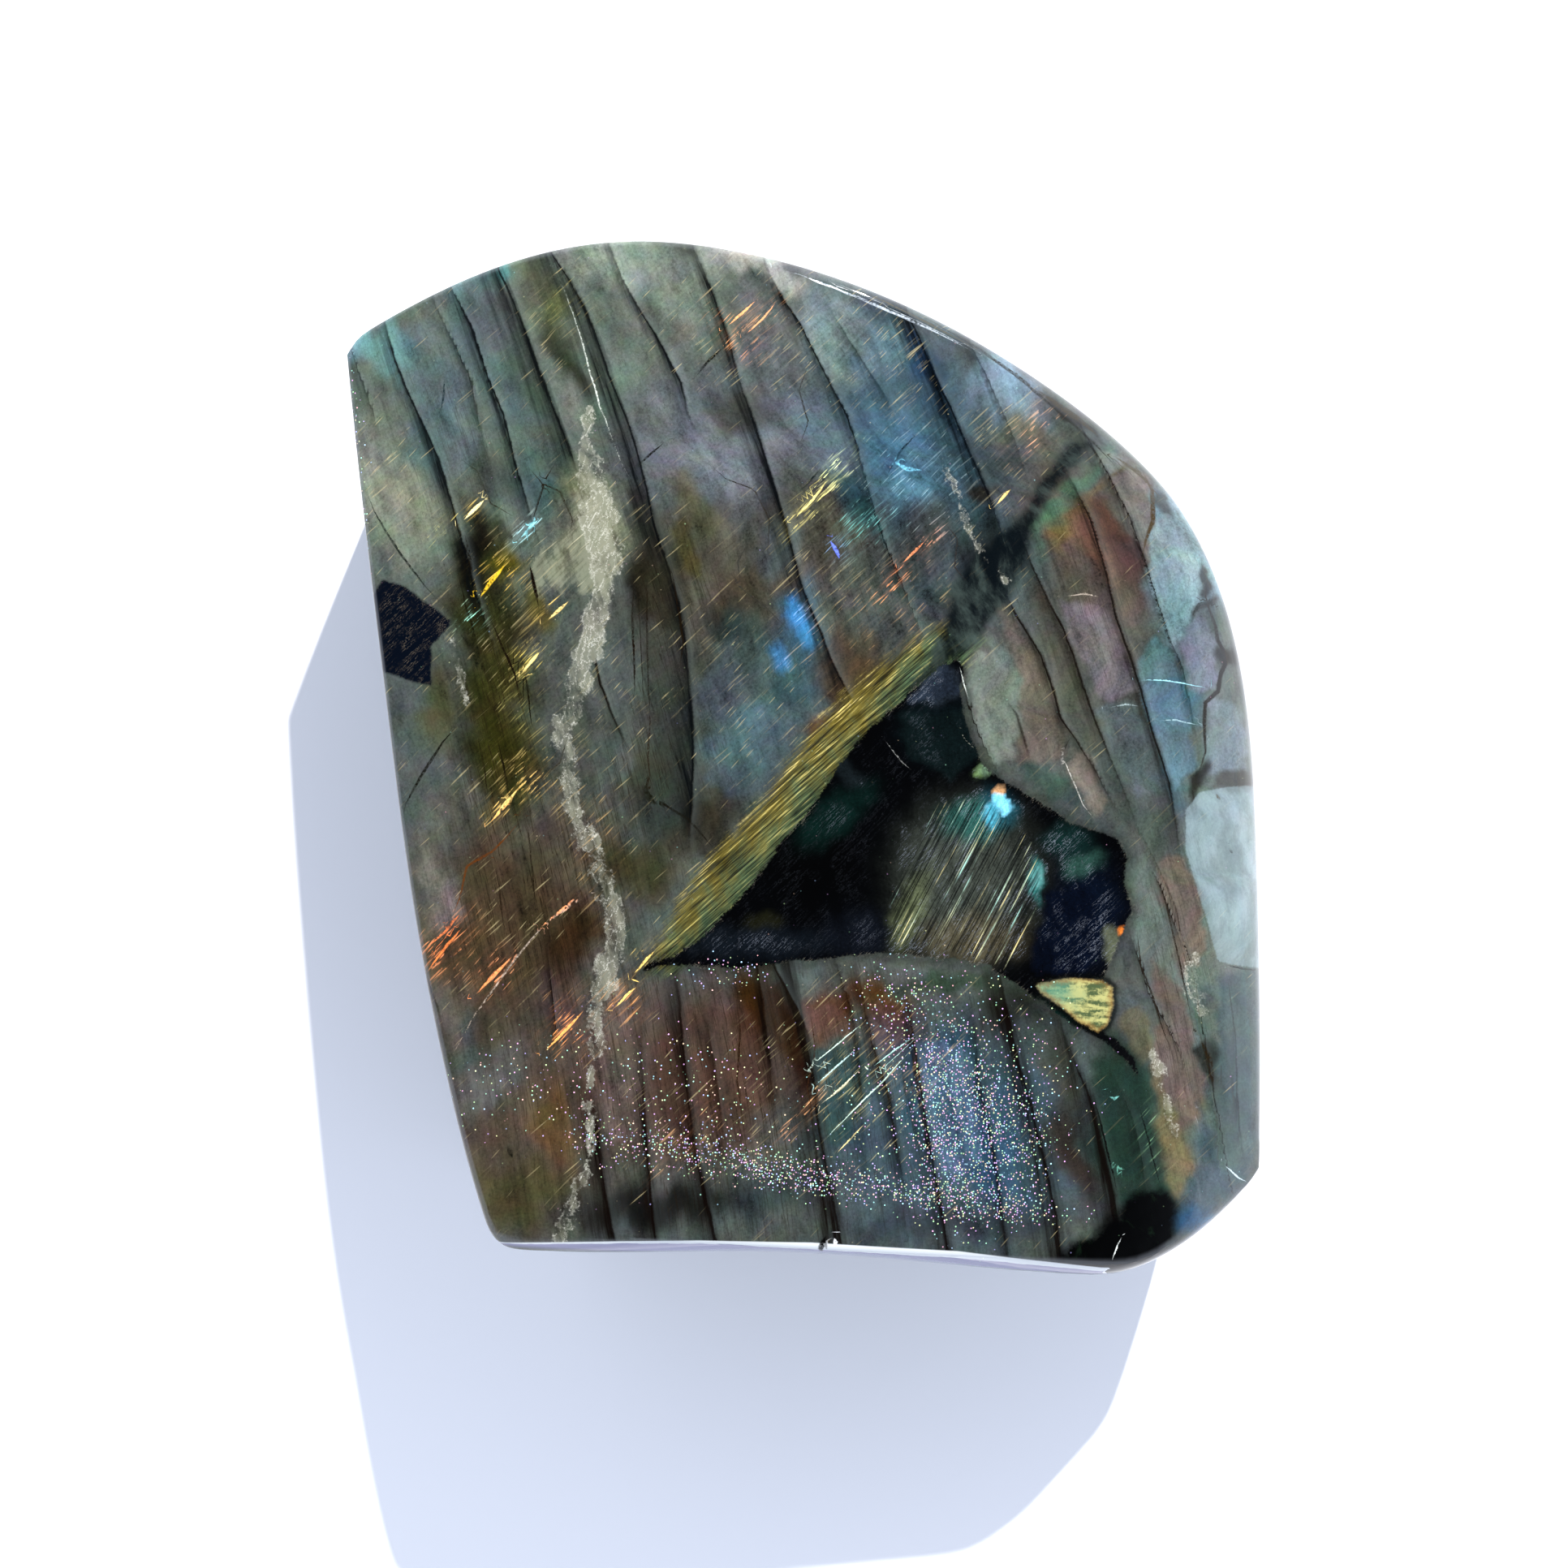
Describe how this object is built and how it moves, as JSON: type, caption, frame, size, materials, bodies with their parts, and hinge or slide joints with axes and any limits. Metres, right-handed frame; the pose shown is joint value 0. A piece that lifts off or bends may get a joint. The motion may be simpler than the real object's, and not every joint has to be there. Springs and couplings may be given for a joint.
{
  "type": "labradorite freeform",
  "caption": "Polished free-standing labradorite slab with a domed front face, straight left side, rolled right shoulder, flat back and flat standing base.",
  "frame": {"origin": "under the middle of the stone's bounding box, on the surface that its flat back lies on", "axes": "+Z out of the flat back and through the polished front face, -Y out of the flat standing base, +X towards the rolled shoulder"},
  "size_m": [0.1084, 0.1114, 0.0379],
  "materials": {
    "polished_labradorite": "polished"
  },
  "bodies": {
    "root": {"labradorite_stone": "polished_labradorite"}
  },
  "joints": []
}
